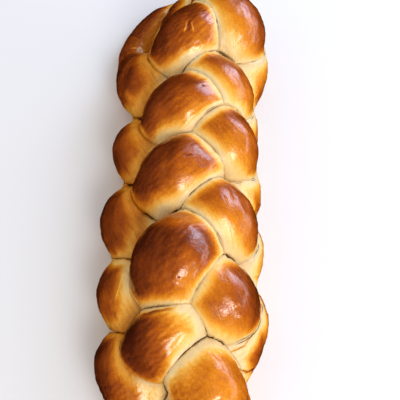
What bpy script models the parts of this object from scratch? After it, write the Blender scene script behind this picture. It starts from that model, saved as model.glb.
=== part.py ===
"""Braided loaf: five strands of dough in a flat plain weave, baked into one solid.

The loaf lies along Y and rests on a flat base at z = 0. Every strand is a round
bar that swings from side to side, over one neighbour and under the next. A low
core joins the strands inside, and the base is cut flat. Sizes are in metres.
"""
import math

import bmesh
import bpy
from mathutils import Vector

# The whole loaf
STRANDS = 5
FAR_TIP, NEAR_TIP = 0.218, -0.214   # Y of the two tips
HALF = 0.200                # half length that slow changes along Y are measured on

# The weave: a strand's phase goes once round while it swings right across and back
LAY = 0.375                 # length of one whole swing
START = math.radians(-28.5) # phase of the first strand at Y = 0
DRIFT_1, DRIFT_2 = -0.40, 0.13      # the lay's early and late running, in radians
NEAR_DRIFT = 0.80           # share of HALF where the drift ends towards the near tip
SWING = 0.0415              # half the width that a strand's centre swings over
SKEW = 0.37                 # how far the crossings sit to the right, in swings
SQUARE = -0.07              # how much the turns are squared off
MID_Z = 0.032               # mean height of the strand centres
OVER = 0.013                # rise over a neighbour, and drop under the next
ARCH = 0.046                # height of the middle strands above the side ones

# One strand
RADIUS = 0.024
SWELL_OVER = 0.25           # fatter where it goes over a neighbour
SWELL_MID = 0.16            # fatter in the middle of the loaf than at its sides
SWELL_IN = 0.18             # fatter on its way in from the sides
SWELL_TURN = 0.08           # fatter round the turn and into the crossings
THINNEST = 0.70             # least radius where it is pinched, as a share of RADIUS

# Hand shaping: what makes the five strands differ
EARLY = (0.10, 0.10, 0.0, -0.05, 0.0)   # phase, in radians
PLUMP = (-0.10, 0.0, 0.0, 0.06, 0.0)    # share of RADIUS
WIDER = (0.0, -0.05, 0.0, -0.15, -0.15) # share of SWING

# Strand, phase in degrees, swell as a share of RADIUS, lift, push to the right, turn in radians
CROWNS = (
    (1, -247.5, -0.06, 0.0, 0.003, 0.10),
    (2, -247.5, -0.02, 0.002, 0.002, 0.10),
    (3, -247.5, -0.04, 0.002, 0.0, 0.15),
    (4, -247.5, 0.10, 0.006, -0.002, -0.05),    # the biggest crown
    (0, 112.5, -0.08, -0.002, -0.003, -0.10),   # the low crown in front of it
)
SHOULDERS = (
    (3, -427.5, 0.04, 0.0, 0.006, -0.10),
    (4, -427.5, -0.08, -0.002, 0.0, -0.05),     # a small one near the far end
    (1, -67.5, -0.04, 0.0, 0.0, -0.05),
    (2, -67.5, -0.02, -0.002, 0.0, 0.0),
    (3, -67.5, 0.04, 0.0, 0.008, 0.0),
    (4, -202.5, 0.06, 0.006, 0.014, -0.35),     # the biggest crown's overhanging lower end
)
LEFT_SIDE = (
    (0, -205.0, 0.0, 0.0, -0.018, 0.05),        # the first strand stays outside from the far end
    (4, -517.5, 0.0, 0.0, 0.020, 0.15),
    (0, -157.5, 0.02, 0.002, 0.002, -0.05),
    (1, -157.5, 0.0, -0.002, 0.002, -0.20),
    (2, -157.5, 0.0, 0.0, 0.0, -0.15),
    (3, -157.5, 0.0, 0.0, 0.0, -0.10),
    (4, -157.5, 0.02, 0.0, -0.002, 0.10),
)
RIGHT_SIDE = (
    (2, -337.5, 0.02, 0.0, 0.0, -0.05),
    (3, -337.5, -0.02, 0.0, -0.002, -0.05),
    (4, -337.5, 0.0, 0.0, 0.002, -0.05),
    (0, 22.5, 0.02, 0.0, 0.0, 0.10),
    (1, 22.5, 0.02, 0.0, 0.004, 0.05),
    (2, 22.5, 0.04, 0.0, 0.014, 0.0),           # keeps the near end wide on the right
)
LOBES = CROWNS + SHOULDERS + LEFT_SIDE + RIGHT_SIDE
LOBE_REACH = 0.55           # phase, in radians, over which a lobe's shaping fades

# The two ends
FAR_TAPER, NEAR_TAPER = 0.086, 0.116
TAPER_BEND, TAPER_ROUND = 2.5, 0.6  # how late the taper starts, and how blunt it ends
END_LOW = 1.7               # how much sooner the height tapers than the width
TIP_RADIUS = 0.45           # strand's radius at a tip, as a share of RADIUS
TIP_Z = 0.013               # height that the strands are tucked down to at a tip
ROUNDING = 0.022            # length over which a strand's end is rounded off
TIP_GAP = 0.0006            # where the dome is closed with a small cap

# The core and the base
CORE_WIDTH, CORE_HEIGHT = 0.085, 0.048
CORE_Z, CORE_UNDER = 0.0105, 0.033  # height of its widest line, and how far it goes below
BASE_DEPTH = 0.060
CORE_GAP = 0.004            # from a tip to the end of the core

# Facets
POINTS = 72                 # along a strand
SIDES = 16                  # round a strand
CORE_SIDES, CORE_RINGS = 16, 24
WELD = 0.000001             # joins a strand's end caps to its side


def taper(y):
    """How fully the weave is open at y: 0 at a tip and 1 along the middle."""
    far = max(0.0, 1.0 - (FAR_TIP - y) / FAR_TAPER)
    near = max(0.0, 1.0 - (y - NEAR_TIP) / NEAR_TAPER)
    return ((1.0 - far ** TAPER_BEND) * (1.0 - near ** TAPER_BEND)) ** TAPER_ROUND


def rounding(y):
    """Scales a strand's radius so that its two ends are domed."""
    gap = min(FAR_TIP - y, y - NEAR_TIP)
    short = max(0.0, 1.0 - gap / ROUNDING)
    return math.sqrt(max(0.0, 1.0 - short * short))


def strand(index, y):
    """Centre and radius of one strand at y."""
    u = max(-NEAR_DRIFT, y / HALF)
    phase = 2 * math.pi * (-y / LAY - index / STRANDS) + START + EARLY[index]
    phase += DRIFT_1 * math.sin(math.pi * u) + DRIFT_2 * math.sin(2 * math.pi * u)
    swell = lift = push = turn = 0.0
    for which, at, swells, lifts, pushes, turns in LOBES:
        if which == index:
            share = math.exp(-(((phase - math.radians(at)) / LOBE_REACH) ** 2))
            swell, lift = swell + swells * share, lift + lifts * share
            push, turn = push + pushes * share, turn + turns * share
    phase += turn
    wide, across = taper(y), math.sin(phase) ** 2
    low = wide ** END_LOW
    swing = math.cos(phase) + SKEW * across + SQUARE * math.cos(3 * phase)
    x = wide * (SWING * (1 + WIDER[index]) * swing + push)
    over = math.sin(4 * phase)
    z = TIP_Z + low * (MID_Z - TIP_Z + OVER * over + ARCH * (across - 0.5) + lift)
    size = 1 + SWELL_OVER * over + SWELL_MID * (across - 0.5)
    size += SWELL_IN * math.sin(2 * phase) + SWELL_TURN * math.cos(6 * phase)
    size = max(THINNEST, size + PLUMP[index] + swell)
    size *= TIP_RADIUS + (1 - TIP_RADIUS) * low
    return Vector((x, y, z)), RADIUS * size * rounding(y)


def stations(low, high, count):
    """Y values from low to high, closer together at both ends."""
    middle, half = (low + high) / 2, (high - low) / 2
    even = [2 * i / (count - 1) - 1 for i in range(count)]
    return [middle + half * (0.75 * t + 0.25 * math.sin(math.pi * t / 2)) for t in even]


def clear_scene():
    """Removes whatever the scene holds."""
    for thing in list(bpy.data.objects):
        bpy.data.objects.remove(thing, do_unlink=True)


def link(thing, parent=None, cutter=False):
    """Puts an object in the scene, and marks it if it only shapes another."""
    bpy.context.collection.objects.link(thing)
    thing.parent = parent
    if cutter:
        thing.hide_render = True
        thing.display_type = "WIRE"
    return thing


def strand_object(index):
    """One strand, swept along its centre line and domed at both ends."""
    curve = bpy.data.curves.new(f"strand_{index}_path", "CURVE")
    curve.dimensions = "3D"
    curve.twist_mode = "Z_UP"
    curve.bevel_depth = RADIUS
    curve.bevel_resolution = (SIDES - 4) // 2
    curve.use_fill_caps = True
    line = curve.splines.new("POLY")
    line.points.add(POINTS - 1)
    for point, y in zip(line.points, stations(NEAR_TIP + TIP_GAP, FAR_TIP - TIP_GAP, POINTS)):
        centre, radius = strand(index, y)
        point.co = (*centre, 1.0)
        point.radius = radius / RADIUS
    guide = bpy.data.objects.new(f"strand_{index}_path", curve)
    bpy.context.collection.objects.link(guide)
    scene = bpy.context.evaluated_depsgraph_get()
    mesh = bpy.data.meshes.new_from_object(guide.evaluated_get(scene))
    bpy.data.objects.remove(guide, do_unlink=True)
    shape = bmesh.new()
    shape.from_mesh(mesh)
    bmesh.ops.remove_doubles(shape, verts=shape.verts, dist=WELD)
    bmesh.ops.triangulate(shape, faces=shape.faces)
    shape.to_mesh(mesh)
    shape.free()
    mesh.name = f"strand_{index}"
    return bpy.data.objects.new(mesh.name, mesh)


def core_object():
    """The fused middle: an arched bar that fills the space under the strands."""
    shape = bmesh.new()
    rings = []
    for y in stations(NEAR_TIP + CORE_GAP, FAR_TIP - CORE_GAP, CORE_RINGS):
        open_ = taper(y)
        half = CORE_WIDTH / 2 * open_ * rounding(y)
        top = (CORE_HEIGHT - CORE_Z) * open_ ** END_LOW
        ring = []
        for i in range(CORE_SIDES):
            turn = 2 * math.pi * i / CORE_SIDES
            x = half * math.cos(turn)
            z = CORE_Z + (top if turn < math.pi else CORE_UNDER) * math.sin(turn)
            ring.append(shape.verts.new((x, y, z)))
        rings.append(ring)
    for one, two in zip(rings, rings[1:]):
        for i in range(CORE_SIDES):
            j = (i + 1) % CORE_SIDES
            shape.faces.new((one[i], one[j], two[j], two[i]))
    shape.faces.new(rings[0][::-1])
    shape.faces.new(rings[-1])
    bmesh.ops.triangulate(shape, faces=shape.faces)
    bmesh.ops.recalc_face_normals(shape, faces=shape.faces)
    mesh = bpy.data.meshes.new("loaf")
    shape.to_mesh(mesh)
    shape.free()
    return bpy.data.objects.new("loaf", mesh)


def base_cutter():
    """The block under z = 0 that cuts the loaf's base flat."""
    shape = bmesh.new()
    bmesh.ops.create_cube(shape, size=1.0)
    bmesh.ops.scale(shape, vec=(0.3, 0.6, BASE_DEPTH), verts=shape.verts)
    bmesh.ops.translate(shape, vec=(0, 0, -BASE_DEPTH / 2), verts=shape.verts)
    mesh = bpy.data.meshes.new("base_cutter")
    shape.to_mesh(mesh)
    shape.free()
    return bpy.data.objects.new("base_cutter", mesh)


def crust():
    """The baked, egg-washed crust's mean colour and gloss."""
    material = bpy.data.materials.new("crust")
    material.use_nodes = True
    shader = material.node_tree.nodes["Principled BSDF"]
    shader.inputs["Base Color"].default_value = (0.42, 0.17, 0.045, 1.0)
    shader.inputs["Roughness"].default_value = 0.42
    shader.inputs["Metallic"].default_value = 0.0
    return material


def boolean(target, operation, **operand):
    """Adds an exact Boolean to an object."""
    cut = target.modifiers.new(operation.title(), "BOOLEAN")
    cut.operation = operation
    cut.solver = "EXACT"
    for name, value in operand.items():
        setattr(cut, name, value)
    return cut


def build():
    """Models the loaf, and centres its base on the origin."""
    clear_scene()
    centre = link(bpy.data.objects.new("centre", None))
    loaf = link(core_object(), centre)
    loaf.data.materials.append(crust())
    strands = bpy.data.collections.new("strands")
    bpy.context.scene.collection.children.link(strands)
    for index in range(STRANDS):
        piece = strand_object(index)
        strands.objects.link(piece)
        piece.parent = centre
        piece.hide_render = True
        piece.display_type = "WIRE"
        piece.data.materials.append(loaf.data.materials[0])
    base = link(base_cutter(), centre, cutter=True)
    boolean(loaf, "UNION", operand_type="COLLECTION", collection=strands, use_self=True)
    boolean(loaf, "DIFFERENCE", object=base)
    found = loaf.evaluated_get(bpy.context.evaluated_depsgraph_get()).bound_box
    for axis in (0, 1):
        low, high = min(c[axis] for c in found), max(c[axis] for c in found)
        centre.location[axis] = -(low + high) / 2


build()
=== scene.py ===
"""Looks of the braided loaf: five fused strands of egg-washed dough on a pale floor.

Geometry Nodes sweep each strand along the weave. Each strand's skin is then raised
and creased where it meets its neighbours, and carries the bake and the painted shade of
its creases and shaded sides as attributes that the crust's shader reads. All sizes are in metres.
"""
from __future__ import annotations

import logging
import math
from dataclasses import dataclass, field
from enum import Enum
from functools import partialmethod
from itertools import zip_longest
from typing import Any, Callable, Iterable

import bmesh
import bpy
import numpy as np
from bpy.types import ID, AreaLight, ColorRamp, Material, Mesh, Node, NodeSocket as Socket, NodeTree, Object
from mathutils import Matrix, Vector

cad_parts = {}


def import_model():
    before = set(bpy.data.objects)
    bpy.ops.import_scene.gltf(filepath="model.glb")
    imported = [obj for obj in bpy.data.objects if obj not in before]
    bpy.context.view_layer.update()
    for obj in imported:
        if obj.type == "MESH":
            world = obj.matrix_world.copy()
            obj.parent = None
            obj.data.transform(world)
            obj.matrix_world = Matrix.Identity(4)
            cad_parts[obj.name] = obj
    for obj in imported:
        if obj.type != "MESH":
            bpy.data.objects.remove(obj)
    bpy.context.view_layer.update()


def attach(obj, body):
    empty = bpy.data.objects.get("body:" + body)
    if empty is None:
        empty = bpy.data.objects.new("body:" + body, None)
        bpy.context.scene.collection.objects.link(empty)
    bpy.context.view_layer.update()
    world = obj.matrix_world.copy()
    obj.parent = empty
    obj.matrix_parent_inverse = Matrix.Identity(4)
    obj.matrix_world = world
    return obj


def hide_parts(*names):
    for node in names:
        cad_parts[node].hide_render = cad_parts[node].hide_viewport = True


Array = np.ndarray
Colour = tuple[float, float, float]
Values = dict[str | int, Any] | None
Span = tuple[float, float]      # from where to where something fades in
Grain = tuple[float, ...]       # a noise's scale, detail and, at times, roughness
LOG = logging.getLogger("loaf")
NODE = "loaf"
BODY = "root"
FIBRE_STRETCH = 0.09    # length along a strand that a fibre's pattern takes for each metre
CROWDING = 0.25         # how much closer together rings lie towards the ends
TINY = 1e-12            # keeps a division from failing


@dataclass
class Sock:
    """A number socket of a node tree that adds Math nodes when it is calculated with."""

    tree: NodeTree
    socket: Socket

    def calc(self, operation: str, *others: Sock | float, clamp: bool = False, last: bool = False) -> Sock:
        """Adds one Math node.

        Args:
            operation: The Math node's operation.
            others: The other numbers in the calculation.
            clamp: Whether the result is held between 0 and 1.
            last: Whether this number comes after the others, not before them.

        Returns:
            The node's result.
        """
        node = self.tree.nodes.new("ShaderNodeMath")
        node.operation, node.use_clamp = operation, clamp
        for slot, term in zip(node.inputs, (*others, self) if last else (self, *others)):
            fill(self.tree, slot, term)
        return Sock(self.tree, node.outputs[0])

    __add__ = __radd__ = partialmethod(calc, "ADD")
    __sub__ = partialmethod(calc, "SUBTRACT")
    __rsub__ = partialmethod(calc, "SUBTRACT", last=True)
    __mul__ = __rmul__ = partialmethod(calc, "MULTIPLY")
    __truediv__ = partialmethod(calc, "DIVIDE")
    __pow__ = partialmethod(calc, "POWER")
    __neg__ = partialmethod(calc, "MULTIPLY", -1.0)

    def smooth(self, low: float, high: float) -> Sock:
        """A smooth step from 0 at low to 1 at high."""
        step = {"Value": self, "From Min": low, "From Max": high}
        return Nodes(self.tree).number(
            "ShaderNodeMapRange", "Result", {"interpolation_type": "SMOOTHSTEP"}, step)


Number = float | Array | Sock


def fill(tree: NodeTree, slot: Socket, value: Any) -> None:
    """Gives an input socket its number, its colour or its link."""
    value = value.socket if isinstance(value, Sock) else value
    if isinstance(value, Socket):
        tree.links.new(value, slot)
    else:
        slot.default_value = value


def either(operation: str, plain: Callable) -> Callable[[Number], Number]:
    """Makes a function that works on plain numbers and on sockets."""
    return lambda value: value.calc(operation) if isinstance(value, Sock) else plain(value)


sin, cos, exp = either("SINE", np.sin), either("COSINE", np.cos), either("EXPONENT", np.exp)


def most(one: Number, two: float) -> Number:
    """The higher of two numbers."""
    return one.calc("MAXIMUM", two) if isinstance(one, Sock) else np.maximum(one, two)


def ease(value: Array, low: float, high: float) -> Array:
    """A smooth step from 0 at low to 1 at high."""
    part = np.clip((value - low) / (high - low), 0.0, 1.0)
    return part * part * (3.0 - 2.0 * part)


def spaced(turn: Number, low: float, high: float) -> Number:
    """Places from low to high as turn goes from -1 to 1, closer together at both ends."""
    turn = turn * (1.0 - CROWDING) + sin(turn * (math.pi / 2)) * CROWDING
    return turn * ((high - low) / 2) + (high + low) / 2


def unit(ways: Array) -> Array:
    """Directions of length 1."""
    return ways / np.maximum(np.linalg.norm(ways, axis=-1, keepdims=True), TINY)


def direction(azimuth: float, elevation: float) -> Vector:
    """The way to something, in degrees round from the near end and up from the floor."""
    turn, rise = math.radians(azimuth), math.radians(elevation)
    return Vector((math.sin(turn) * math.cos(rise), -math.cos(turn) * math.cos(rise), math.sin(rise)))


def link(name: str, data: ID) -> Object:
    """Puts a new object with some data in the scene."""
    thing = bpy.data.objects.new(name, data)
    bpy.context.collection.objects.link(thing)
    return thing


@dataclass
class Nodes:
    """Adds nodes to one tree in one way."""

    tree: NodeTree

    def add(self, kind: str, settings: Values = None, values: Values = None) -> Node:
        """Adds a node, sets it, and fills its sockets.

        Args:
            kind: The node's type name.
            settings: Properties of the node, set first. "stops" fills a colour ramp.
            values: Socket names or places, and the number, colour or link for each.

        Returns:
            The new node.
        """
        node = self.tree.nodes.new(kind)
        for name, value in (settings or {}).items():
            if name == "stops":
                self._stops(node.color_ramp, value)
            else:
                setattr(node, name, value)
        for name, value in (values or {}).items():
            fill(self.tree, node.inputs[name], value)
        return node

    def number(self, kind: str, output: str | int = 0, settings: Values = None,
               values: Values = None) -> Sock:
        """Adds a node and returns one of its outputs as a number to calculate with."""
        return Sock(self.tree, self.add(kind, settings, values).outputs[output])

    def vector(self, operation: str, *terms: Any) -> Socket:
        """Adds a Vector Math node and returns its vector."""
        return self.add("ShaderNodeVectorMath", {"operation": operation}, dict(enumerate(terms))).outputs[0]

    def measure(self, operation: str, *terms: Any) -> Sock:
        """Adds a Vector Math node and returns its number."""
        return self.number("ShaderNodeVectorMath", "Value", {"operation": operation}, dict(enumerate(terms)))

    def attribute(self, name: str) -> Sock:
        """Reads one of the mesh's own numbers."""
        return self.number("ShaderNodeAttribute", "Fac", {"attribute_name": name})

    def noise(self, vector: Socket, scale: float, detail: float, rough: float = 0.5) -> Sock:
        """Adds a noise around 0, from about -0.5 to 0.5."""
        return self.number("ShaderNodeTexNoise", "Fac", None, {
            "Vector": vector, "Scale": scale, "Detail": detail, "Roughness": rough}) - 0.5

    def mix(self, share: Sock, one: Any, two: Any) -> Socket:
        """Adds a mix of two colours, from one to two."""
        return self.add("ShaderNodeMix", {"data_type": "RGBA"}, {0: share, 6: one, 7: two}).outputs[2]

    def shape(self, kind: str, values: Values, settings: Values = None) -> Socket:
        """Adds a geometry node and returns its geometry."""
        return self.add(f"GeometryNode{kind}", settings, values).outputs[0]

    def store(self, geometry: Socket, name: str, value: Sock) -> Socket:
        """Keeps a number on a curve's points under a name."""
        return self.shape("StoreNamedAttribute", {"Geometry": geometry, "Name": name, "Value": value},
                          {"data_type": "FLOAT", "domain": "POINT"})

    @staticmethod
    def _stops(ramp: ColorRamp, stops: list[tuple[float, tuple[float, ...]]]) -> None:
        """Fills a colour ramp with (place, colour) stops."""
        while len(ramp.elements) < len(stops):
            ramp.elements.new(1.0)
        for element, (place, colour) in zip(ramp.elements, stops):
            element.position = place
            element.color = (*colour, 1.0)


@dataclass(frozen=True)
class Lobe:
    """What the baker's hand and the oven did to one lobe of one strand."""

    phase: float = 0.0
    swell: float = 0.0
    lift: float = 0.0
    push: float = 0.0
    turn: float = 0.0
    tone: float = 0.0

    def values(self) -> tuple[float, ...]:
        """The lobe's place and its changes, in the order of PARTS."""
        return math.radians(self.phase), self.swell, self.lift, self.push, self.turn


PARTS = ("Phase", "Swell", "Lift", "Push", "Turn")
LETTERS = "ABCDEF"


@dataclass(frozen=True)
class Strand:
    """How one strand differs from the others."""

    index: int
    early: float
    plump: float
    wider: float
    lobes: tuple[Lobe, ...]


STRANDS = (
    Strand(0, 0.1, -0.1, 0.0, (
        Lobe(112.5, -0.08, -0.002, -0.003, -0.1, 0.28),
        Lobe(128.0, tone=0.22),
        Lobe(84.0, tone=-0.9),
        Lobe(22.5, 0.02, 0.0, 0.0, 0.1, -0.12),
        Lobe(-157.5, 0.02, 0.002, 0.002, -0.05, -0.06),
        Lobe(-205.0, 0.0, 0.0, -0.018, 0.05, 0.25))),
    Strand(1, 0.1, 0.0, -0.05, (
        Lobe(22.5, 0.02, 0.0, 0.004, 0.05, -0.12),
        Lobe(-67.5, -0.04, 0.0, 0.0, -0.05),
        Lobe(-157.5, 0.0, -0.002, 0.002, -0.2),
        Lobe(-247.5, -0.06, 0.0, 0.003, 0.1))),
    Strand(2, 0.0, 0.0, 0.0, (
        Lobe(22.5, 0.04, 0.0, 0.014),
        Lobe(-67.5, -0.02, -0.002, 0.0, 0.0, 0.09),
        Lobe(-157.5, 0.0, 0.0, 0.0, -0.15),
        Lobe(-247.5, -0.02, 0.002, 0.002, 0.1),
        Lobe(-337.5, 0.02, 0.0, 0.0, -0.05, -0.12))),
    Strand(3, -0.05, 0.06, -0.15, (
        Lobe(-67.5, 0.04, 0.0, 0.008),
        Lobe(-112.0, tone=-0.34),
        Lobe(-157.5, 0.0, 0.0, 0.0, -0.1, -0.08),
        Lobe(-247.5, -0.04, 0.002, 0.0, 0.15),
        Lobe(-337.5, -0.02, 0.0, -0.002, -0.05, -0.12),
        Lobe(-427.5, 0.04, 0.0, 0.006, -0.1))),
    Strand(4, 0.0, 0.0, -0.15, (
        Lobe(-157.5, 0.02, 0.0, -0.002, 0.1, 0.1),
        Lobe(-202.5, 0.06, 0.006, 0.014, -0.35),
        Lobe(-247.5, 0.1, 0.006, -0.002, -0.05, 0.05),
        Lobe(-337.5, 0.0, 0.0, 0.002, -0.05, -0.12),
        Lobe(-427.5, -0.08, -0.002, 0.0, -0.05),
        Lobe(-517.5, 0.0, 0.0, 0.02, 0.15))),
)


@dataclass(frozen=True)
class Weave:
    """The rule that all strands follow: a flat five-strand plain weave."""

    count: int = 5
    far_tip: float = 0.218
    near_tip: float = -0.214
    half: float = 0.200
    lay: float = 0.375
    start: float = math.radians(-28.5)
    drift: tuple[float, float] = (-0.40, 0.13)
    near_drift: float = 0.80
    swing: float = 0.0415
    skew: float = 0.37
    square: float = -0.07
    mid_z: float = 0.032
    over: float = 0.013
    arch: float = 0.046
    radius: float = 0.024
    swell_over: float = 0.25
    swell_mid: float = 0.16
    swell_in: float = 0.18
    swell_turn: float = 0.08
    thinnest: float = 0.70
    lobe_reach: float = 0.55
    far_taper: float = 0.086
    near_taper: float = 0.116
    taper_bend: float = 2.5
    taper_round: float = 0.6
    end_low: float = 1.7
    tip_radius: float = 0.45
    tip_z: float = 0.013
    dome: float = 0.022
    tip_gap: float = 0.0006
    strands: tuple[Strand, ...] = STRANDS

    def _ends(self, y: Number, far: float, near: float) -> tuple[Number, Number]:
        """How far y is into the reach of the far and of the near end, up to 1 at the tip."""
        return most(1.0 - (self.far_tip - y) / far, 0.0), most(1.0 - (y - self.near_tip) / near, 0.0)

    def taper(self, y: Number) -> Number:
        """How fully the weave is open at y: 0 at a tip and 1 along the middle."""
        far, near = self._ends(y, self.far_taper, self.near_taper)
        return ((1.0 - far ** self.taper_bend) * (1.0 - near ** self.taper_bend)) ** self.taper_round

    def rounding(self, y: Number) -> Number:
        """Scales a strand's radius so that its two ends are domed."""
        far, near = self._ends(y, self.dome, self.dome)
        return most(1.0 - far * far - near * near, 0.0) ** 0.5

    def place(self, y: Number, index: Number, early: Number, plump: Number, wider: Number,
              lobes: Iterable[tuple[Number, ...]]) -> tuple[Number, Number, Number, Number]:
        """Where a strand runs at y, in plain numbers or in sockets.

        Args:
            y: The place along the loaf.
            index: The strand's number.
            early: How far ahead of the rule the strand's phase runs.
            plump: The strand's extra radius, as a share.
            wider: The strand's extra swing, as a share.
            lobes: Phase, swell, lift, push and turn of the lobes shaped by hand.

        Returns:
            The centre's x and z, the radius and the phase.
        """
        u = most(y / self.half, -self.near_drift)
        phase = (y * (-2.0 * math.pi / self.lay) - index * (2.0 * math.pi / self.count)
                 + early + self.start)
        phase = phase + self.drift[0] * sin(u * math.pi) + self.drift[1] * sin(u * (2.0 * math.pi))
        swell = lift = push = turn = 0.0
        for at, swells, lifts, pushes, turns in lobes:
            gap = (phase - at) / self.lobe_reach
            share = exp(-(gap * gap))
            swell, lift = share * swells + swell, share * lifts + lift
            push, turn = share * pushes + push, share * turns + turn
        phase = phase + turn
        wide = self.taper(y)
        low = wide ** self.end_low
        side = sin(phase)
        across = side * side
        swing = cos(phase) + across * self.skew + self.square * cos(phase * 3.0)
        x = ((wider + 1.0) * self.swing * swing + push) * wide
        over = sin(phase * 4.0)
        z = self.mid_z - self.tip_z + self.over * over + self.arch * (across - 0.5) + lift
        z = z * low + self.tip_z
        size = plump + 1.0 + self.swell_over * over + self.swell_mid * (across - 0.5)
        size = size + self.swell_in * sin(phase * 2.0) + self.swell_turn * cos(phase * 6.0)
        size = most(size + swell, self.thinnest) * (low * (1.0 - self.tip_radius) + self.tip_radius)
        return x, z, size * self.radius * self.rounding(y), phase

    def line(self, strand: Strand, y: Array) -> tuple[Array, Array, Array]:
        """One strand's centre line.

        Args:
            strand: The strand.
            y: The places along the loaf.

        Returns:
            The centres, the radii and the phases at those places.
        """
        x, z, radius, phase = self.place(
            y, float(strand.index), strand.early, strand.plump, strand.wider,
            [lobe.values() for lobe in strand.lobes])
        return np.stack([x, y, z], axis=1), radius, phase


@dataclass
class StrandTree:
    """The Geometry Nodes tree that sweeps one strand of the weave."""

    weave: Weave
    rings: int
    sides: int
    tree: NodeTree = field(init=False)

    def __post_init__(self) -> None:
        """Builds the tree once, for all strands: a line, its weave, its section, and the swept skin."""
        self.tree = bpy.data.node_groups.new("strand sweep", "GeometryNodeTree")
        given, make, weave = self._inputs(), Nodes(self.tree), self.weave
        low, high = weave.near_tip + weave.tip_gap, weave.far_tip - weave.tip_gap
        line = make.shape("CurvePrimitiveLine", {"Start": (0, low, 0), "End": (0, high, 0)})
        fine = make.shape("ResampleCurve", {"Curve": line, "Count": given["Rings"]}, {"mode": "COUNT"})
        y = spaced(make.number("GeometryNodeSplineParameter", "Factor") * 2.0 - 1.0, low, high)
        lobes = [tuple(given[f"Lobe {letter} {part}"] for part in PARTS) for letter in LETTERS]
        x, z, radius, phase = weave.place(
            y, given["Strand"], given["Early"], given["Plump"], given["Wider"], lobes)
        sized = make.shape("SetCurveRadius", {"Curve": make.store(fine, "phase", phase), "Radius": radius})
        where = make.add("ShaderNodeCombineXYZ", None, {"X": x, "Y": y, "Z": z})
        woven = make.shape("SetPosition", {"Geometry": sized, "Position": where.outputs[0]})
        upright = make.shape("SetCurveNormal", {"Curve": woven}, {"mode": "Z_UP"})
        measured = make.store(upright, "along", make.number("GeometryNodeSplineParameter", "Length"))
        ring = make.shape("CurvePrimitiveCircle", {"Resolution": given["Sides"], "Radius": 1.0})
        section = make.store(
            ring, "around", make.number("GeometryNodeSplineParameter", "Factor") * (2.0 * math.pi))
        swept = make.shape("CurveToMesh", {
            "Curve": measured, "Profile Curve": section,
            "Scale": make.number("GeometryNodeInputRadius"), "Fill Caps": True})
        soft = make.shape("SetShadeSmooth", {"Geometry": swept, "Shade Smooth": True})
        real = make.shape("RealizeInstances", {"Geometry": soft})
        dressed = make.shape("SetMaterial", {"Geometry": real, "Material": given["Crust"]})
        make.add("NodeGroupOutput", None, {"Geometry": dressed})

    def _inputs(self) -> dict[str, Sock]:
        kinds = dict.fromkeys(("Strand", "Early", "Plump", "Wider"), "Float")
        kinds |= {f"Lobe {letter} {part}": "Float" for letter in LETTERS for part in PARTS}
        kinds |= {"Rings": "Int", "Sides": "Int", "Crust": "Material"}
        for name, kind in kinds.items():
            self.tree.interface.new_socket(name, in_out="INPUT", socket_type=f"NodeSocket{kind}")
        self.tree.interface.new_socket("Geometry", in_out="OUTPUT", socket_type="NodeSocketGeometry")
        source = self.tree.nodes.new("NodeGroupInput")
        return {name: Sock(self.tree, source.outputs[name]) for name in kinds}

    def sweep(self, strand: Strand, material: Material) -> Mesh:
        """Runs the tree for one strand.

        Args:
            strand: The strand to sweep.
            material: The finish that the tree sets.

        Returns:
            The strand's skin as a plain mesh with no modifier.
        """
        holder = link("sweep", bpy.data.meshes.new("sweep"))
        modifier = holder.modifiers.new("Sweep", "NODES")
        modifier.node_group = self.tree
        values = {"Strand": float(strand.index), "Early": strand.early, "Plump": strand.plump,
                  "Wider": strand.wider, "Rings": self.rings, "Sides": self.sides, "Crust": material}
        for letter, lobe in zip_longest(LETTERS, strand.lobes, fillvalue=Lobe()):
            values.update({f"Lobe {letter} {part}": value for part, value in zip(PARTS, lobe.values())})
        for item in self.tree.interface.items_tree:
            if item.name in values and item.in_out == "INPUT":
                modifier[item.identifier] = values[item.name]
        graph = bpy.context.evaluated_depsgraph_get()
        mesh = bpy.data.meshes.new_from_object(holder.evaluated_get(graph))
        bpy.data.objects.remove(holder, do_unlink=True)
        return mesh


@dataclass(frozen=True)
class Waves:
    """Smooth unevenness in space, made of waves with fixed random directions."""

    seed: int
    length: float
    height: float
    count: int = 26

    def at(self, points: Array) -> Array:
        """Works out the unevenness at some points.

        Args:
            points: Points in rows of x, y and z.

        Returns:
            One number for each point, with a spread of the waves' height.
        """
        chance = np.random.default_rng(self.seed)
        ways = unit(chance.normal(size=(self.count, 3)))
        rates = 2.0 * math.pi / self.length * chance.uniform(0.6, 1.6, self.count)
        turns = chance.uniform(0.0, 2.0 * math.pi, self.count)
        total = np.zeros(points.shape[:-1])
        for way, rate, turn in zip(ways, rates, turns):
            total += np.sin(points @ (way * rate) + turn)
        return total * (self.height * math.sqrt(2.0 / self.count))


@dataclass
class Rope:
    """A strand's centre line as close-set balls, to measure distances from."""

    centres: Array
    radii: Array

    def near(self, points: Array, reach: float = 0.050) -> tuple[Array, Array, Array]:
        """Measures how far points are outside the rope.

        Args:
            points: Points in rows, close together along the loaf.
            reach: How far along the loaf the rope is searched.

        Returns:
            The distances, negative inside, the directions away from the rope, and how
            high the rope's centre runs there.
        """
        low, high = points[:, 1].min() - reach, points[:, 1].max() + reach
        rows = (self.centres[:, 1] > low) & (self.centres[:, 1] < high)
        centres, radii = self.centres[rows], self.radii[rows]
        squares = (points ** 2).sum(1)[:, None] - 2.0 * points @ centres.T + (centres ** 2).sum(1)
        spans = np.sqrt(np.maximum(squares, 0.0)) - radii
        best = spans.argmin(axis=1)
        return spans[np.arange(len(points)), best], unit(points - centres[best]), centres[best, 2]


def gap_to(rope: Rope, points: Array, rows: int = 2400) -> list[Array]:
    """What Rope.near finds for many points, worked out a few rows at a time to save memory."""
    found = [rope.near(points[start:start + rows]) for start in range(0, len(points), rows)]
    return [np.concatenate(column) for column in zip(*found)]


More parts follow.
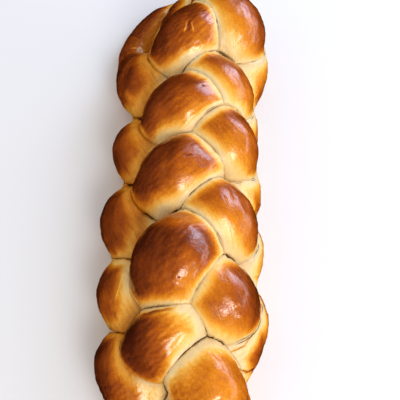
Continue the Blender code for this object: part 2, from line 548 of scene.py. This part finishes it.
@dataclass
class Skin:
    """One strand's skin as rings of points, with how they lie against its neighbours."""

    points: Array
    centres: Array
    along: Array
    around: Array
    girth: Array
    phase: Array
    seam: Array = field(init=False)
    over: Array = field(init=False)

    def normals(self) -> Array:
        """Outward directions of the rings' surface."""
        round_ = np.roll(self.points, -1, axis=1) - np.roll(self.points, 1, axis=1)
        length = np.gradient(self.points, axis=0)
        out = unit(np.cross(round_, length))
        inward = (out * (self.points - self.centres[:, None])).sum(axis=(1, 2)) < 0.0
        return out * np.where(inward, -1.0, 1.0)[:, None, None]


@dataclass
class Dough:
    """Presses the strands together, lets them rise unevenly and finds how open they lie."""

    ropes: list[Rope]
    fillet: float = 0.0044
    fillet_least: float = 0.4
    fillet_most: float = 1.9
    settling: int = 8
    settling_share: float = 0.7
    dive: float = 1.1
    deepest: float = 0.006
    thin_end: float = 0.012
    ridge_start: float = 0.006
    least_girth: float = 0.008
    sole_round: float = 0.0030
    sole_step: float = 0.00015
    swell: Waves = Waves(3, 0.046, 0.00045)
    lumps: Waves = Waves(5, 0.017, 0.00022)
    ridges: Waves = Waves(8, 0.0052, 0.00004)
    dimples: Waves = Waves(17, 0.0046, 0.00012)
    seam_change: Waves = Waves(11, 0.030, 0.50)
    probes: tuple[float, ...] = (0.009, 0.018, 0.032)
    probe_least: float = -0.3
    tilt: float = math.radians(42)

    def press(self, skin: Skin, index: int) -> None:
        """Blends a strand's skin into its neighbours and flattens its sole.

        Args:
            skin: The strand's skin, which is changed.
            index: The strand's number.
        """
        rings, sides = skin.points.shape[:2]
        flat = skin.points.reshape(-1, 3)
        out = unit(flat - np.repeat(skin.centres, sides, axis=0))
        gap, lean, lower = np.full(len(flat), 1.0), np.zeros(len(flat)), np.zeros(len(flat))
        for other, rope in enumerate(self.ropes):
            if other == index:
                continue
            span, way, height = gap_to(rope, flat)
            gap, lean, lower = np.where(
                span < gap, (span, (way * out).sum(1), height), (gap, lean, lower))
        width = self.fillet * np.clip(
            1.0 + self.seam_change.at(flat), self.fillet_least, self.fillet_most)
        rise = np.zeros(len(flat))
        for _ in range(self.settling):
            own, theirs = rise, gap + rise * lean
            share = np.maximum(width - np.abs(own - theirs), 0.0) / width
            miss = np.minimum(own, theirs) - share * share * width / 4.0
            settled = np.clip(rise - self.settling_share * miss, 0.0, width)
            rise = np.where(gap > -width, settled, rise)
        seam = gap + rise * lean - rise
        rise = np.where(seam < 0.0, np.maximum(rise + self.dive * seam, -self.deepest), rise)
        fade = np.repeat(np.clip(skin.girth / self.thin_end, 0.0, 1.0), sides)
        ridges = self.ridges.at(self.fibre(skin).reshape(-1, 3)) * ease(seam, 0.0, self.ridge_start)
        rise = fade * (rise + self.swell.at(flat) + self.lumps.at(flat) + ridges + self.dimples.at(flat))
        moved = flat + out * rise[:, None]
        floor = self.sole_step * (index + 1)
        lift = np.maximum(self.sole_round - np.abs(moved[:, 2] - floor), 0.0) / self.sole_round
        moved[:, 2] = np.maximum(moved[:, 2], floor) + lift * lift * self.sole_round / 4.0
        skin.points = moved.reshape(rings, sides, 3)
        skin.seam = seam.reshape(rings, sides)
        skin.over = skin.centres[:, 2:3] - lower.reshape(rings, sides)

    def fibre(self, skin: Skin) -> Array:
        """Coordinates that stretch a pattern lengthwise along a strand."""
        girth = np.maximum(skin.girth, self.least_girth)[:, None]
        along = np.repeat(skin.along[:, None] * FIBRE_STRETCH, len(skin.around), axis=1)
        return np.stack([along, girth * np.cos(skin.around), girth * np.sin(skin.around)], axis=2)

    def expose(self, skin: Skin, step: int = 4) -> Array:
        """Works out how openly each point of a skin faces the oven.

        Args:
            skin: The strand's pressed skin.
            step: How many rings and sides are passed over between two probes.

        Returns:
            Openness from 0 to 1 for every point of the skin.
        """
        points, out = skin.points[::step, ::step], skin.normals()[::step, ::step]
        flat, out = points.reshape(-1, 3), out.reshape(-1, 3)
        side = unit(np.cross(out, (0.0, 1.0, 0.0)))
        length = np.cross(side, out)
        total = np.zeros(len(flat))
        ways = [out] + [out * math.cos(self.tilt) + way * math.sin(self.tilt)
                        for way in (side, -side, length, -length)]
        for reach in self.probes:
            for way in ways:
                probe = flat + way * reach
                clear = probe[:, 2]
                for rope in self.ropes:
                    clear = np.minimum(clear, gap_to(rope, probe)[0])
                total += np.clip(clear / reach, self.probe_least, 1.0)
        coarse = (total / (len(ways) * len(self.probes))).reshape(points.shape[:2])
        return self._fill(coarse, *skin.points.shape[:2], step)

    @staticmethod
    def _fill(coarse: Array, rings: int, sides: int, step: int) -> Array:
        """Spreads a coarse grid over every ring and side of a skin."""
        row = np.minimum(np.arange(rings) / step, coarse.shape[0] - 1)
        column = np.arange(sides) / step
        top, left = row.astype(int), column.astype(int)
        low = np.minimum(top + 1, coarse.shape[0] - 1)
        right = (left + 1) % coarse.shape[1]
        down, over = (row - top)[:, None], column - left
        wide = coarse[:, left] * (1 - over) + coarse[:, right] * over
        return wide[top] * (1 - down) + wide[low] * down


@dataclass(frozen=True)
class Mark:
    """A small scar, blister, pore or pale patch at one place of the crust; the darker tone in pores, dents
    and grooves is painted shade.
    """

    place: tuple[float, float]
    heading: float
    length: float
    width: float
    height: float
    tone: float

    def share(self, make: Nodes, plan: Socket) -> Sock:
        """Adds nodes that tell how fully a point lies in the mark, as seen from above.

        Args:
            make: What adds the nodes.
            plan: The point's place on the loaf, with its height left out.

        Returns:
            1 at the mark's middle and 0 outside it.
        """
        turn = math.radians(self.heading)
        offset = make.vector("SUBTRACT", plan, (*self.place, 0.0))
        along = make.measure("DOT_PRODUCT", offset, (math.sin(turn), math.cos(turn), 0.0))
        square = make.measure("DOT_PRODUCT", offset, offset)
        across = (square - along * along) / (self.width * self.width)
        length = along * along / (self.length * self.length)
        return exp(-(across + length * length))


MARKS = (
    Mark((-0.0075, 0.1355), 11.0, 0.005, 0.0008, 0.00045, -0.28),
    Mark((-0.005, 0.135), 0.0, 0.0045, 0.0014, -0.0004, 0.1),
    Mark((-0.002, 0.135), -14.0, 0.0045, 0.0007, 0.00035, -0.2),
    # painted shade: the darker tone in this pinhole
    Mark((-0.0015, -0.085), 0.0, 0.0006, 0.0008, -0.0005, 0.35),
    Mark((0.041, -0.1), 30.0, 0.002, 0.0018, 0.0005, -0.04),
    Mark((0.044, -0.107), 30.0, 0.0016, 0.0016, 0.00045, -0.04),
    # painted shade: the darker tone in this pore and in the dent below
    Mark((0.0095, 0.0775), 0.0, 0.0007, 0.0009, -0.0006, 0.25),
    Mark((0.0005, 0.0125), 70.0, 0.003, 0.0008, -0.00045, 0.15),
    Mark((-0.0025, -0.042), 90.0, 0.018, 0.006, 0.0, -0.24),
    Mark((0.031, -0.0215), -25.0, 0.004, 0.0006, 0.0004, -0.14),
    Mark((0.035, -0.018), -28.0, 0.0035, 0.0006, 0.00035, -0.12),
    Mark((-0.002, 0.111), 90.0, 0.009, 0.006, 0.0, -0.3),
    Mark((-0.0525, 0.1595), 90.0, 0.006, 0.0008, 0.0003, -0.3),
    Mark((-0.0465, 0.1385), 90.0, 0.0055, 0.0008, 0.0003, -0.26),
    Mark((-0.0525, 0.1095), 0.0, 0.008, 0.005, 0.0, 0.16),
    Mark((-0.0535, 0.0895), -30.0, 0.006, 0.002, 0.0, -0.2),
    Mark((-0.0445, -0.0775), 10.0, 0.006, 0.0008, 0.0004, -0.16),
    Mark((-0.0465, -0.088), 12.0, 0.005, 0.0008, 0.0004, -0.14),
    # painted shade: the darker tone in these grooves, at a crease and among the torn folds below
    Mark((-0.014, -0.1055), 80.0, 0.011, 0.0015, -0.0008, 0.5),
    Mark((0.0445, -0.125), 63.0, 0.0065, 0.0006, -0.0007, 0.5),
    Mark((0.053, -0.117), 35.0, 0.0075, 0.0006, -0.0007, 0.45),
    Mark((0.049, -0.139), 82.0, 0.004, 0.0008, -0.0009, 0.5),
    Mark((0.0555, -0.1375), 58.0, 0.0045, 0.0006, -0.0008, 0.36),
    Mark((0.048, -0.1305), 58.0, 0.008, 0.0022, 0.0012, -0.05),
    Mark((0.0635, -0.1175), -20.0, 0.01, 0.005, 0.0, 0.22),
    Mark((0.058, -0.128), 40.0, 0.007, 0.004, 0.0, 0.18),
)


@dataclass(frozen=True)
class CrustFinish:
    """Egg-washed crust: cream in the creases, gold, then umber on the crowns."""

    name: str = "egg-washed crust"
    stops: tuple[tuple[float, Colour], ...] = (
        (0.00, (0.84, 0.65, 0.35)),
        (0.12, (0.93, 0.69, 0.28)),
        (0.3, (0.95, 0.49, 0.06)),
        (0.46, (0.73, 0.23, 0.004)),
        (0.62, (0.42, 0.085, 0.0005)),
        (0.78, (0.2, 0.032, 0.0003)),
        (0.92, (0.085, 0.011, 0.0003)),
        (1.00, (0.055, 0.007, 0.0003)),
    )
    # painted shade: the dark brown drawn along the bottom of some seams' cracks, where shade would fall
    crack_shade: Colour = (0.2, 0.08, 0.014)
    # painted shade: the olive tint that darkens creases and sides facing away from the light
    shade_tint: Colour = (0.54, 0.41, 0.3)
    sole: Colour = (0.33, 0.14, 0.035)
    roughness: float = 0.225
    shine: float = 1.0
    shine_colour: Colour = (1.0, 0.92, 0.84)
    streaks: Grain = (760.0, 4.0, 0.62)
    freckles: Grain = (640.0, 3.0, 0.6)
    blotches: Grain = (42.0, 3.0)
    bands: Grain = (170.0, 2.0)
    cracks: Grain = (260.0, 3.0, 0.65)
    patches: Grain = (60.0, 2.0)
    grains: Grain = (540.0, 1.0)
    pits: Grain = (1150.0, 1.0)
    dullness: Grain = (190.0, 2.0)
    pale_edge: Span = (0.1, 0.42)
    crack_edge: Span = (0.0001, 0.0005)
    patch_edge: Span = (0.04, 0.14)
    sole_edge: Span = (0.0006, 0.0022)
    blotch_tone: float = 0.26
    freckle_tone: float = 0.2
    band_tone: float = 0.04
    streak_tone: float = 0.06
    streak_middle: float = 0.06
    streak_pale: float = 0.48
    # streaks show more where painted shade darkens the crust
    streak_dim: float = 0.26
    streak_height: float = 0.00006
    streak_pale_height: float = 0.0005
    grain_height: float = 0.00013
    pit_height: float = 0.00004
    blister_height: float = -0.00007
    crack_wander: float = 0.0016
    crack_depth: float = 0.0006
    pale_rough: float = 0.16
    freckle_rough: float = 0.12
    patch_rough: float = 0.16
    dry_rough: float = 0.3

    def material(self) -> Material:
        """Builds the crust's material.

        Returns:
            The new material, which reads the attributes bake, seam, fibre and the painted shade of creases
            and shaded sides; it also paints shade into cracks along some seams.
        """
        material = bpy.data.materials.new(self.name)
        material.use_nodes = True
        tree = material.node_tree
        tree.nodes.clear()
        make = Nodes(tree)
        place = make.add("ShaderNodeTexCoord").outputs["Object"]
        fibre = make.add("ShaderNodeAttribute", {"attribute_name": "fibre"}).outputs["Vector"]
        # the third attribute read here is the painted shade of creases and shaded sides
        bake, seam, dim = (make.attribute(name) for name in ("bake", "seam", "dim"))
        streak, freckle = make.noise(fibre, *self.streaks), make.noise(place, *self.freckles)
        middle = (bake * (1.0 - bake)) * 4.0
        pale = 1.0 - bake.smooth(*self.pale_edge)
        streaky = (self.streak_tone + self.streak_middle * middle + self.streak_pale * pale
                   + self.streak_dim * dim)
        tone = (bake + make.noise(place, *self.blotches) * self.blotch_tone + streak * streaky
                + make.noise(fibre, *self.bands) * self.band_tone + freckle * self.freckle_tone)
        rises = 0.0
        plan = make.vector("MULTIPLY", place, (1.0, 1.0, 0.0))
        for mark in MARKS:
            share = mark.share(make, plan)
            tone, rises = tone + share * mark.tone, rises + share * mark.height
        tone = tone.calc("ADD", 0.0, clamp=True)
        ramp = make.add("ShaderNodeValToRGB", {"stops": list(self.stops)}, {"Fac": tone})
        # a dark line along the bottom of some seams: a real groove in the bump, with painted shade in its
        # colour
        edge = (seam + make.noise(place, *self.cracks) * self.crack_wander).calc("ABSOLUTE")
        patchy = make.noise(place, *self.patches).smooth(*self.patch_edge)
        line = (1.0 - edge.smooth(*self.crack_edge)) * patchy
        crack_shaded = make.mix(line, ramp.outputs["Color"], (*self.crack_shade, 1.0))
        # painted shade: creases and sides facing away from the light are darkened towards olive
        shaded = make.mix(dim, crack_shaded, make.vector("MULTIPLY", crack_shaded, self.shade_tint))
        height = make.number("ShaderNodeSeparateXYZ", "Z", None, {"Vector": place})
        under = 1.0 - height.smooth(*self.sole_edge)
        blister = make.number("ShaderNodeTexVoronoi", "Distance", {"feature": "SMOOTH_F1"}, {
            "Vector": place, "Scale": 520.0, "Smoothness": 0.6})
        relief = (streak * (self.streak_height + self.streak_pale_height * pale)
                  + make.noise(place, *self.grains) * self.grain_height + blister * self.blister_height
                  + make.noise(place, *self.pits) * self.pit_height + rises - line * self.crack_depth)
        bump = make.add("ShaderNodeBump", None, {"Strength": 1.0, "Distance": 1.0, "Height": relief})
        rough = (self.roughness + pale * self.pale_rough + freckle * self.freckle_rough
                 + make.noise(place, *self.dullness) * self.patch_rough + (line + under) * self.dry_rough)
        shader = make.add("ShaderNodeBsdfPrincipled", None, {
            "Base Color": make.mix(under, shaded, (*self.sole, 1.0)), "Roughness": rough,
            "Normal": bump.outputs[0], "Specular IOR Level": self.shine,
            "Specular Tint": (*self.shine_colour, 1.0)})
        make.add("ShaderNodeOutputMaterial", None, {"Surface": shader.outputs[0]})
        return material


@dataclass(frozen=True)
class Oven:
    """How browning, and painted shade on the sides facing away from the light, follow the shape: tones run
    from 0, raw, to 1, umber, and reaches are in metres.
    """

    level: float = 0.66
    far_slope: float = 0.22
    left_slope: float = 0.3
    right_slope: float = 0.06
    ridge: float = 0.01
    ridge_reach: float = 0.012
    right_fade: float = 0.09
    right_edge: Span = (0.012, 0.034)
    crease: float = 0.0022
    crease_under: float = 0.0054
    under_edge: Span = (-0.014, 0.01)
    open_gain: float = 1.4
    open_loss: float = 0.06
    lobe_start: float = 67.5
    lobe_span: float = 90.0
    neck_tone: float = 0.62
    neck_edge: Span = (2.0, 34.0)
    tail_tone: float = 0.8
    tail_edge: Span = (0.0, 20.0)
    flank: Span = (0.018, 0.034)
    flank_least: float = 0.4
    rim: float = 0.17
    rim_edge: Span = (0.047, 0.062)
    rim_seam: Span = (0.001, 0.008)
    stretched: float = -0.078
    stretched_reach: float = 0.02
    stretched_loss: float = 0.75
    knee: float = 0.8
    knee_loss: float = 0.4
    # painted shade: how creases and sides facing away from the light are darkened towards olive
    dim_crease: float = 0.0032
    dim_least: float = 0.15
    dim_near: float = 0.25
    dim_left: float = 0.6
    dim_left_edge: Span = (-0.006, 0.022)
    dim_slope: float = 1.1
    dim_flank: float = 0.8
    dim_flank_way: Span = (-0.6, 0.3)

    def bake(self, skin: Skin, open_: Array, lobes: Iterable[Lobe], reach: float) -> Array:
        """Works out how brown each point of a skin is, with painted shade on its left-facing sides and left
        flank.

        Args:
            skin: The strand's pressed skin.
            open_: How openly each point faces the oven.
            lobes: The strand's lobes, with their own tones.
            reach: How far a lobe's tone reaches, in radians.

        Returns:
            The tone of every point, from 0 to 1.
        """
        way, x, y = skin.normals(), skin.points[:, :, 0], skin.points[:, :, 1]
        run = np.degrees(skin.phase - math.radians(self.lobe_start)) % self.lobe_span
        neck = self.neck_tone + (1.0 - self.neck_tone) * ease(run, *self.neck_edge)
        tail = self.tail_tone + (1.0 - self.tail_tone) * ease(self.lobe_span - run, *self.tail_edge)
        pale = self.crease + self.crease_under * (1.0 - ease(skin.over, *self.under_edge))
        aside = np.tanh((x - self.ridge) / self.ridge_reach)
        slope = np.where(aside > 0.0, self.right_slope, self.left_slope)
        # darker on far-facing sides as baked, and on sides facing out from the ridge, most on the left,
        # where the darkening is partly painted shade of sides facing away from the light
        tone = self.level + self.far_slope * way[:, :, 1] + way[:, :, 0] * aside * slope
        tone = tone - self.right_fade * ease(x, *self.right_edge)
        tone = tone * (1.0 - np.exp(-np.maximum(skin.seam, 0.0) / pale))
        tone = tone * np.clip(open_ * self.open_gain - self.open_loss, 0.0, 1.0) * (neck * tail)[:, None]
        for lobe in lobes:
            share = np.exp(-((skin.phase - math.radians(lobe.phase)) / reach) ** 2)
            tone = tone + lobe.tone * share[:, None]
        rim = ease(x, *self.rim_edge) * ease(skin.seam, *self.rim_seam)
        stretched = np.exp(-((y - self.stretched) / self.stretched_reach) ** 2)
        # the left flank keeps at least this much brown, partly baked and partly painted shade, since it
        # faces away from the light
        least = self.flank_least * self._flank(x) * (1.0 - self.stretched_loss * stretched)
        tone = np.maximum(tone + self.rim * rim, least)
        return np.clip(tone - self.knee_loss * np.maximum(tone - self.knee, 0.0), 0.0, 1.0)

    def dim(self, skin: Skin) -> Array:
        """How much painted shade darkens each point of a skin towards olive, from 0 to 1: in its creases,
        most on near-facing and left sides, and on the left flank's inward sides.
        """
        way, x = skin.normals(), skin.points[:, :, 0]
        near = np.clip(self.dim_least - self.dim_slope * way[:, :, 1], 0.0, 1.0)
        near = near * (self.dim_near + self.dim_left * ease(-x, *self.dim_left_edge))
        dim = np.exp(-np.maximum(skin.seam, 0.0) / self.dim_crease) * (self.dim_least + near)
        flank = self.dim_flank * self._flank(x) * ease(way[:, :, 0], *self.dim_flank_way)
        return np.clip(dim + flank, 0.0, 1.0)

    def _flank(self, x: Array) -> Array:
        """How fully a place lies on the loaf's left flank, which faces away from the light."""
        return ease(-x, *self.flank)


@dataclass
class Loaf:
    """The braided loaf: five strands and the heart that they are fused around."""

    weave: Weave = Weave()
    rings: int = 560
    sides: int = 160
    rope_balls: int = 320
    core_width: float = 0.082
    core_height: float = 0.048
    core_z: float = 0.0105
    core_under: float = 0.033
    core_gap: float = 0.004
    core_sides: int = 48
    core_rings: int = 220
    heart_bake: float = 0.62
    heart_crease: float = 0.003
    # painted shade: the heart, deep between the strands, is evenly darkened towards olive
    heart_dim: float = 0.3
    middle: Array = field(init=False)

    def build(self, crust: CrustFinish) -> list[Object]:
        """Sweeps, presses and bakes the strands, and adds the heart.

        Args:
            crust: The finish that all pieces share.

        Returns:
            The finished pieces.
        """
        material = crust.material()
        sweeper = StrandTree(self.weave, self.rings, self.sides)
        meshes = [sweeper.sweep(strand, material) for strand in self.weave.strands]
        skins = [self._skin(mesh) for mesh in meshes]
        self.middle = self._middle(skins)
        for skin in skins:
            skin.points, skin.centres = skin.points - self.middle, skin.centres - self.middle
        dough, oven = Dough([self._rope(strand) for strand in self.weave.strands]), Oven()
        pieces = []
        for strand, mesh, skin in zip(self.weave.strands, meshes, skins):
            dough.press(skin, strand.index)
            bake = oven.bake(skin, dough.expose(skin), strand.lobes, self.weave.lobe_reach)
            # besides the bake, each skin carries the painted shade of its creases and shaded sides
            self._dress(mesh, skin.points, bake=bake, seam=skin.seam, dim=oven.dim(skin),
                        fibre=dough.fibre(skin))
            mesh.name = f"strand_{strand.index + 1}"
            pieces.append(self._link(mesh))
        return [*pieces, self._heart(material, dough.ropes)]

    def _skin(self, mesh: Mesh) -> Skin:
        """Reads a swept mesh as rings of points."""
        points = self._read(mesh.vertices, "co", 3)
        along, around, phase = (
            self._read(mesh.attributes[name].data, "value") for name in ("along", "around", "phase"))
        centres = points.mean(axis=1)
        girth = np.linalg.norm(points - centres[:, None], axis=2).mean(axis=1)
        return Skin(points, centres, along[:, 0], around[0], girth, phase[:, 0])

    def _read(self, data: bpy.types.bpy_prop_collection, key: str, *size: int) -> Array:
        """Reads something of every point of a swept mesh, ring by ring."""
        flat = np.empty(self.rings * self.sides * math.prod(size), np.float32)
        data.foreach_get(key, flat)
        return flat.astype(float).reshape(self.rings, self.sides, *size)

    def _rope(self, strand: Strand) -> Rope:
        """A strand's centre line as balls, in the finished frame."""
        weave = self.weave
        y = np.linspace(weave.near_tip + weave.tip_gap, weave.far_tip - weave.tip_gap, self.rope_balls)
        centres, radii, _ = weave.line(strand, y)
        return Rope(centres - self.middle, radii)

    @staticmethod
    def _middle(skins: list[Skin]) -> Array:
        """The middle of the loaf's box, on the floor."""
        every = np.concatenate([skin.points.reshape(-1, 3) for skin in skins])
        every = every[every[:, 2] > 0.0]
        middle = (every.min(axis=0) + every.max(axis=0)) / 2
        middle[2] = 0.0
        return middle

    @staticmethod
    def _dress(mesh: Mesh, points: Array, **layers: Array) -> None:
        """Writes points and attributes into a mesh."""
        mesh.vertices.foreach_set("co", points.reshape(-1).astype(np.float32))
        for name in ("phase", "along", "around"):
            if name in mesh.attributes:
                mesh.attributes.remove(mesh.attributes[name])
        for name, values in layers.items():
            kind, key = ("FLOAT_VECTOR", "vector") if values.ndim == 3 else ("FLOAT", "value")
            layer = mesh.attributes.new(name, kind, "POINT")
            layer.data.foreach_set(key, np.asarray(values, np.float32).reshape(-1))
        mesh.update()

    @staticmethod
    def _link(mesh: Mesh) -> Object:
        """Puts a finished mesh in the scene as a piece of the loaf."""
        piece = link(mesh.name, mesh)
        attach(piece, BODY)
        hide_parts(NODE)
        LOG.info("%s: %d faces", piece.name, len(mesh.polygons))
        return piece

    def _heart(self, material: Material, ropes: list[Rope]) -> Object:
        """The fused middle that closes the space under the strands."""
        weave = self.weave
        y = spaced(np.linspace(-1.0, 1.0, self.core_rings),
                   weave.near_tip + self.core_gap, weave.far_tip - self.core_gap)
        wide, dome = weave.taper(y), weave.rounding(y)
        angle = 2.0 * math.pi * np.arange(self.core_sides) / self.core_sides
        half = (self.core_width / 2 * wide * dome)[:, None]
        top = ((self.core_height - self.core_z) * wide ** weave.end_low)[:, None]
        rise = np.where(np.sin(angle) > 0.0, top * np.sin(angle), self.core_under * np.sin(angle))
        points = np.stack([half * np.cos(angle), np.repeat(y[:, None], self.core_sides, axis=1),
                           np.maximum(self.core_z + rise, 0.0)], axis=2) - self.middle
        shape = bmesh.new()
        rings = [[shape.verts.new(point) for point in ring] for ring in points]
        for one, two in zip(rings, rings[1:]):
            for i in range(self.core_sides):
                j = (i + 1) % self.core_sides
                shape.faces.new((one[i], one[j], two[j], two[i])).smooth = True
        shape.faces.new(rings[0][::-1])
        shape.faces.new(rings[-1])
        bmesh.ops.recalc_face_normals(shape, faces=shape.faces)
        mesh = bpy.data.meshes.new("heart")
        shape.to_mesh(mesh)
        shape.free()
        mesh.materials.append(material)
        spans = [gap_to(rope, points.reshape(-1, 3))[0] for rope in ropes]
        seam = np.min(spans, axis=0).reshape(points.shape[:2])
        bake = self.heart_bake * (1.0 - np.exp(-np.maximum(seam, 0.0) / self.heart_crease))
        # the heart carries an even painted shade
        self._dress(mesh, points, bake=bake, seam=seam, dim=np.full(bake.shape, self.heart_dim),
                    fibre=points * (1.0, FIBRE_STRETCH, 1.0))
        return self._link(mesh)


class Lamp(Enum):
    """The studio's lights, named for what they stand for."""

    WINDOW = "window"
    ROOM = "room"
    WALL = "wall"


@dataclass(frozen=True)
class Light:
    """One large soft light, aimed at the loaf."""

    lamp: Lamp
    azimuth: float
    elevation: float
    distance: float
    size: tuple[float, float]
    power: float
    colour: Colour
    fade: float = 3.0
    peak: float = 3.5

    def build(self, target: Vector) -> None:
        """Adds the light, facing its target."""
        data = bpy.data.lights.new(self.lamp.value, "AREA")
        data.shape = "RECTANGLE"
        data.size, data.size_y = self.size
        data.energy = self.power
        data.color = self.colour
        self._soften(data)
        thing = link(self.lamp.value, data)
        way = direction(self.azimuth, self.elevation)
        thing.location = target + way * self.distance
        thing.rotation_euler = way.to_track_quat("Z", "Y").to_euler()
        LOG.info("light: %s", self.lamp.value)

    def _soften(self, data: AreaLight) -> None:
        """Fades a light towards its edges, so that what mirrors it has no hard outline."""
        data.use_nodes = True
        tree = data.node_tree
        tree.nodes.clear()
        make = Nodes(tree)
        place = make.add("ShaderNodeNewGeometry").outputs["Parametric"]
        offset = make.vector("SUBTRACT", place, (0.5, 0.5, 0.0))
        out = make.measure("LENGTH", make.vector("MULTIPLY", offset, (2.0, 2.0, 0.0)))
        glow = make.add("ShaderNodeEmission", None, {"Strength": exp(out * out * -self.fade) * self.peak})
        make.add("ShaderNodeOutputLight", None, {"Surface": glow.outputs[0]})


@dataclass
class Studio:
    """The pale floor, the soft lights and the camera."""

    target: Vector = Vector((0.0, 0.0, 0.03))
    floor_size: float = 12.0
    floor_colour: Colour = (0.785, 0.81, 0.85)
    world_colour: Colour = (1.0, 0.94, 0.885)
    world_strength: float = 0.76
    floor_z: float = -0.0002
    floor_roughness: float = 0.6
    azimuth: float = -0.279
    elevation: float = 66.98
    roll: float = 3.609
    distance: float = 0.588
    aim_right: float = 0.0259
    aim_up: float = 0.00695
    lens: float = 63.5
    lights: tuple[Light, ...] = (
        Light(Lamp.WINDOW, 140.0, 27.0, 1.6, (1.7, 1.25), 16.0, (0.6, 0.72, 1.0)),
        Light(Lamp.ROOM, 30.0, 44.0, 1.6, (1.2, 1.0), 14.4, (1.0, 0.97, 0.95)),
        Light(Lamp.WALL, 98.0, 16.0, 1.3, (1.9, 0.62), 3.4, (0.92, 0.9, 1.0)),
    )

    def build(self, middle: Array) -> None:
        """Adds the floor, lights, world and camera.

        Args:
            middle: How far the finished loaf was moved to centre it.
        """
        self._floor()
        for light in self.lights:
            light.build(self.target)
        self._world()
        self._camera(middle)

    def _floor(self) -> None:
        """A plain pale floor just under the loaf."""
        half, z = self.floor_size / 2, self.floor_z
        mesh = bpy.data.meshes.new("floor")
        mesh.from_pydata([(-half, -half, z), (half, -half, z), (half, half, z), (-half, half, z)],
                         [], [(0, 1, 2, 3)])
        material = bpy.data.materials.new("pale floor")
        material.use_nodes = True
        shader = material.node_tree.nodes["Principled BSDF"]
        shader.inputs["Base Color"].default_value = (*self.floor_colour, 1.0)
        shader.inputs["Roughness"].default_value = self.floor_roughness
        mesh.materials.append(material)
        floor = link("floor", mesh)
        floor.visible_glossy = False

    def _world(self) -> None:
        """Soft light from all round, which the crust doesn't mirror."""
        scene = bpy.context.scene
        scene.world = world = scene.world or bpy.data.worlds.new("room")
        world.use_nodes = True
        back = world.node_tree.nodes["Background"]
        back.inputs["Color"].default_value = (*self.world_colour, 1.0)
        back.inputs["Strength"].default_value = self.world_strength
        world.cycles_visibility.glossy = False
        scene.view_settings.view_transform = "Standard"

    def _camera(self, middle: Array) -> None:
        """A camera high over the near end, turned a little off the loaf's length."""
        back, roll = direction(self.azimuth, self.elevation), math.radians(self.roll)
        right = (-back).cross(Vector((0.0, 0.0, 1.0))).normalized()
        top = back.cross(right)
        side = right * math.cos(roll) + top * math.sin(roll)
        up = top * math.cos(roll) - right * math.sin(roll)
        back_aimed = (back - side * self.aim_right - up * self.aim_up).normalized()
        side = (side - back_aimed * side.dot(back_aimed)).normalized()
        up = back_aimed.cross(side)
        camera = bpy.data.cameras.new("camera")
        camera.lens = self.lens
        camera.sensor_width = 36.0
        camera.clip_end = 50.0
        thing = link("camera", camera)
        place = self.target + back * self.distance - Vector(middle)
        thing.matrix_world = Matrix.Translation(place) @ Matrix((side, up, back_aimed)).transposed().to_4x4()
        bpy.context.scene.camera = thing


def main() -> None:
    """Builds the loaf and its studio."""
    logging.basicConfig(level=logging.INFO, format="%(name)s: %(message)s")
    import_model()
    loaf = Loaf()
    loaf.build(CrustFinish())
    Studio().build(loaf.middle)


if __name__ == "__main__":
    main()
